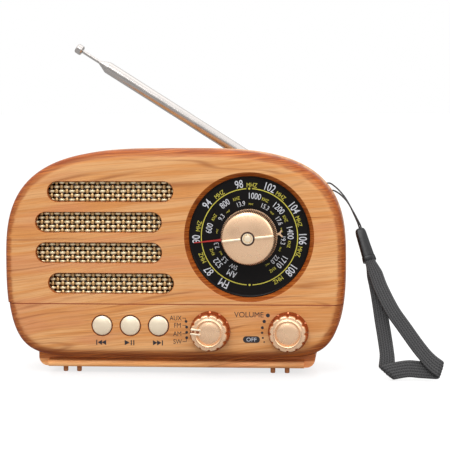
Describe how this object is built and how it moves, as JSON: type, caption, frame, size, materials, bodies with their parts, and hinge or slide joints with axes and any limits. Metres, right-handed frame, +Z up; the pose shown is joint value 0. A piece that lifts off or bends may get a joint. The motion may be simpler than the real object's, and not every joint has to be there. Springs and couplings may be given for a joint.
{
  "type": "tabletop radio",
  "caption": "Retro table radio with a wood-look rounded casing, round tuning dial, slotted speaker, knobs and keys, telescopic aerial and braided wrist strap.",
  "frame": {"origin": "on the floor, under the middle of the radio's box without its strap", "axes": "+Z up, -Y out of the front with the dial, +X to the right as seen from the front"},
  "size_m": [0.2414, 0.0674, 0.1856],
  "materials": {
    "case": "printed wood grain, semi-gloss",
    "feet": "matt",
    "screws": "zinc plated",
    "grille": "woven, satin",
    "speaker_metal": "satin",
    "cone": "pressed paper",
    "surround": "matt",
    "dial": "glossy black",
    "knobs": "rose gold, satin",
    "hub": "cream",
    "keys": "pearl champagne",
    "shafts": "satin",
    "components": "moulded",
    "board": "green solder mask",
    "sockets": "tinned",
    "ferrite": "matt",
    "coil": "enamelled wire",
    "battery": "printed sleeve",
    "aerial": "polished",
    "strap": "braided",
    "strap_plastic": "moulded"
  },
  "bodies": {
    "root": {"front_shell": "case", "control_panel": "case", "rear_shell": "case", "plinth": "case", "foot_front_1": "feet", "foot_front_2": "feet", "foot_front_3": "feet", "foot_front_4": "feet", "foot_rear_1": "feet", "foot_rear_2": "feet", "foot_rear_3": "feet", "foot_rear_4": "feet", "case_screw_1": "screws", "case_screw_2": "screws", "case_screw_3": "screws", "case_screw_4": "screws", "speaker_grille": "grille", "speaker_basket": "speaker_metal", "speaker_surround": "surround", "speaker_magnet": "speaker_metal", "dial_plate": "dial", "tuning_capacitor": "components", "band_switch": "components", "volume_control": "components", "switch_previous": "components", "switch_play": "components", "switch_next": "components", "main_board": "board", "port_board": "board", "usb_socket": "sockets", "card_socket": "sockets", "aux_socket": "components", "dc_socket": "components", "ferrite_rod": "ferrite", "aerial_coil": "coil", "battery": "battery", "aerial_mount": "components", "strap_cord": "strap", "strap_sleeve": "strap_plastic", "strap_braid": "strap"},
    "cone": {"speaker_cone": "cone"},
    "tuning": {"tuning_knob": "knobs", "dial_pointer": "knobs", "tuning_hub_cap": "hub", "tuning_shaft": "shafts"},
    "band": {"band_knob": "knobs", "band_shaft": "shafts"},
    "volume": {"volume_knob": "knobs", "volume_shaft": "shafts"},
    "key_previous": {"button_previous": "keys"},
    "key_play": {"button_play": "keys"},
    "key_next": {"button_next": "keys"},
    "door": {"battery_door": "case"},
    "aerial_swivel": {"aerial_elbow": "aerial"},
    "aerial_stage_1": {"aerial_tube_1": "aerial"},
    "aerial_stage_2": {"aerial_tube_2": "aerial"},
    "aerial_stage_3": {"aerial_tube_3": "aerial"},
    "aerial_stage_4": {"aerial_tube_4": "aerial"},
    "aerial_stage_5": {"aerial_tube_5": "aerial"},
    "aerial_stage_6": {"aerial_tip": "aerial"}
  },
  "joints": [
    {"name": "tuning_turn", "type": "hinge", "parent": "root", "child": "tuning", "pos_m": [0.042, -0.0243, 0.0773], "axis": [0, -1, 0], "range_deg": [-225, 33]},
    {"name": "band_turn", "type": "hinge", "parent": "root", "child": "band", "pos_m": [0.0203, -0.0243, 0.0251], "axis": [0, -1, 0], "range_deg": [-25, 15]},
    {"name": "volume_turn", "type": "hinge", "parent": "root", "child": "volume", "pos_m": [0.0636, -0.0243, 0.025], "axis": [0, -1, 0], "range_deg": [-300, 0]},
    {"name": "previous_press", "type": "slide", "parent": "root", "child": "key_previous", "axis": [0, 1, 0], "range_m": [0, 0.001], "stiffness_N_per_m": 400},
    {"name": "play_press", "type": "slide", "parent": "root", "child": "key_play", "axis": [0, 1, 0], "range_m": [0, 0.001], "stiffness_N_per_m": 400},
    {"name": "next_press", "type": "slide", "parent": "root", "child": "key_next", "axis": [0, 1, 0], "range_m": [0, 0.001], "stiffness_N_per_m": 400},
    {"name": "cone_stroke", "type": "slide", "parent": "root", "child": "cone", "axis": [0, 1, 0], "range_m": [-0.0008, 0.0008], "stiffness_N_per_m": 1500},
    {"name": "door_slide", "type": "slide", "parent": "root", "child": "door", "axis": [0, 1, 0], "range_m": [0, 0.02]},
    {"name": "aerial_swing", "type": "hinge", "parent": "root", "child": "aerial_swivel", "pos_m": [0.0553, 0.0292, 0.108], "axis": [0, 1, 0], "range_deg": [-32, 147]},
    {"name": "aerial_tilt", "type": "hinge", "parent": "aerial_swivel", "child": "aerial_stage_1", "pos_m": [0.0553, 0.0292, 0.108], "axis": [-0.5373, 0, -0.8434], "range_deg": [0, 90]},
    {"name": "aerial_pull_1", "type": "slide", "parent": "aerial_stage_1", "child": "aerial_stage_2", "axis": [-0.8434, 0, 0.5373], "range_m": [0, 0.092]},
    {"name": "aerial_pull_2", "type": "slide", "parent": "aerial_stage_2", "child": "aerial_stage_3", "axis": [-0.8434, 0, 0.5373], "range_m": [0, 0.092]},
    {"name": "aerial_pull_3", "type": "slide", "parent": "aerial_stage_3", "child": "aerial_stage_4", "axis": [-0.8434, 0, 0.5373], "range_m": [0, 0.092]},
    {"name": "aerial_pull_4", "type": "slide", "parent": "aerial_stage_4", "child": "aerial_stage_5", "axis": [-0.8434, 0, 0.5373], "range_m": [0, 0.092]},
    {"name": "aerial_pull_5", "type": "slide", "parent": "aerial_stage_5", "child": "aerial_stage_6", "axis": [-0.8434, 0, 0.5373], "range_m": [-0.012, 0.085]}
  ]
}
